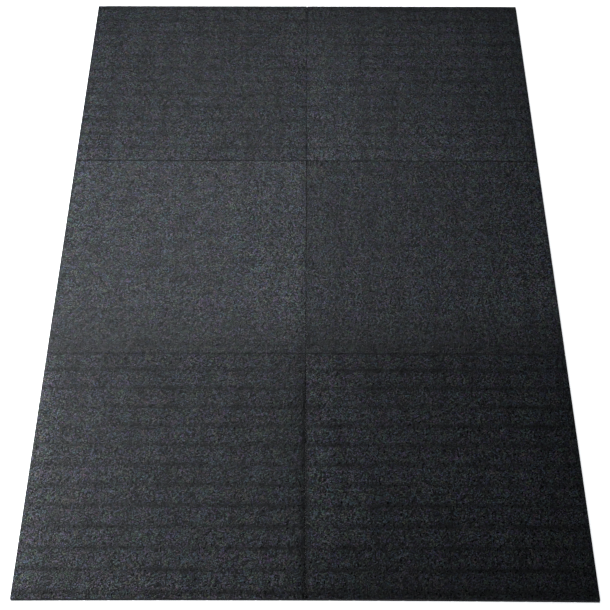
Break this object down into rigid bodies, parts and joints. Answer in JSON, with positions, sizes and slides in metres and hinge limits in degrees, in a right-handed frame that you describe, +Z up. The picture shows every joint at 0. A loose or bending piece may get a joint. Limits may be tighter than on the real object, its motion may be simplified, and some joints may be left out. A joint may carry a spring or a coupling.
{
  "type": "folding gym mat",
  "caption": "Thin black floor mat of square rubber-faced foam panels joined by flexible webs, which fans up row by row and then folds over into a panel-sized stack.",
  "frame": {"origin": "on the floor, under the middle of the open mat", "axes": "+X along the mat's width, +Y along its length towards the row whose two panels are hinged together, +Z up out of the training surface"},
  "size_m": [0.9988, 1.4988, 0.008],
  "materials": {
    "wear_rubber": "matte",
    "core_foam": "matte",
    "base_rubber": "matte",
    "hinge_web": "matte"
  },
  "bodies": {
    "front_left_panel": {"front_left_wear_sheet": "wear_rubber", "front_left_foam_core": "core_foam", "front_left_base_sheet": "base_rubber", "left_front_hinge_front_leaf": "hinge_web"},
    "middle_left_panel": {"middle_left_wear_sheet": "wear_rubber", "middle_left_foam_core": "core_foam", "middle_left_base_sheet": "base_rubber", "left_front_hinge_middle_leaf": "hinge_web", "left_back_hinge_middle_leaf": "hinge_web"},
    "back_left_panel": {"back_left_wear_sheet": "wear_rubber", "back_left_foam_core": "core_foam", "back_left_base_sheet": "base_rubber", "left_back_hinge_back_leaf": "hinge_web", "centre_hinge_left_leaf": "hinge_web"},
    "front_right_panel": {"front_right_wear_sheet": "wear_rubber", "front_right_foam_core": "core_foam", "front_right_base_sheet": "base_rubber", "right_front_hinge_front_leaf": "hinge_web"},
    "middle_right_panel": {"middle_right_wear_sheet": "wear_rubber", "middle_right_foam_core": "core_foam", "middle_right_base_sheet": "base_rubber", "right_back_hinge_middle_leaf": "hinge_web", "right_front_hinge_middle_leaf": "hinge_web"},
    "back_right_panel": {"back_right_wear_sheet": "wear_rubber", "back_right_foam_core": "core_foam", "back_right_base_sheet": "base_rubber", "centre_hinge_right_leaf": "hinge_web", "right_back_hinge_back_leaf": "hinge_web"}
  },
  "joints": [
    {"name": "left_front_fold", "type": "hinge", "parent": "front_left_panel", "child": "middle_left_panel", "pos_m": [-0.25, -0.25, 0.0085], "axis": [1, 0, 0], "range_deg": [0, 180]},
    {"name": "left_back_fold", "type": "hinge", "parent": "middle_left_panel", "child": "back_left_panel", "pos_m": [-0.25, 0.25, -0.0005], "axis": [-1, 0, 0], "range_deg": [0, 180]},
    {"name": "centre_fold", "type": "hinge", "parent": "back_left_panel", "child": "back_right_panel", "pos_m": [0, 0.5, 0.0085], "axis": [0, -1, 0], "range_deg": [0, 180]},
    {"name": "right_back_fold", "type": "hinge", "parent": "back_right_panel", "child": "middle_right_panel", "pos_m": [0.25, 0.25, -0.0005], "axis": [1, 0, 0], "range_deg": [0, 180]},
    {"name": "right_front_fold", "type": "hinge", "parent": "middle_right_panel", "child": "front_right_panel", "pos_m": [0.25, -0.25, 0.0085], "axis": [-1, 0, 0], "range_deg": [0, 180]}
  ],
  "couplings": [
    {"joint": "left_back_fold", "follows": "left_front_fold", "ratio": 1},
    {"joint": "right_back_fold", "follows": "left_front_fold", "ratio": 1},
    {"joint": "right_front_fold", "follows": "left_front_fold", "ratio": 1}
  ]
}
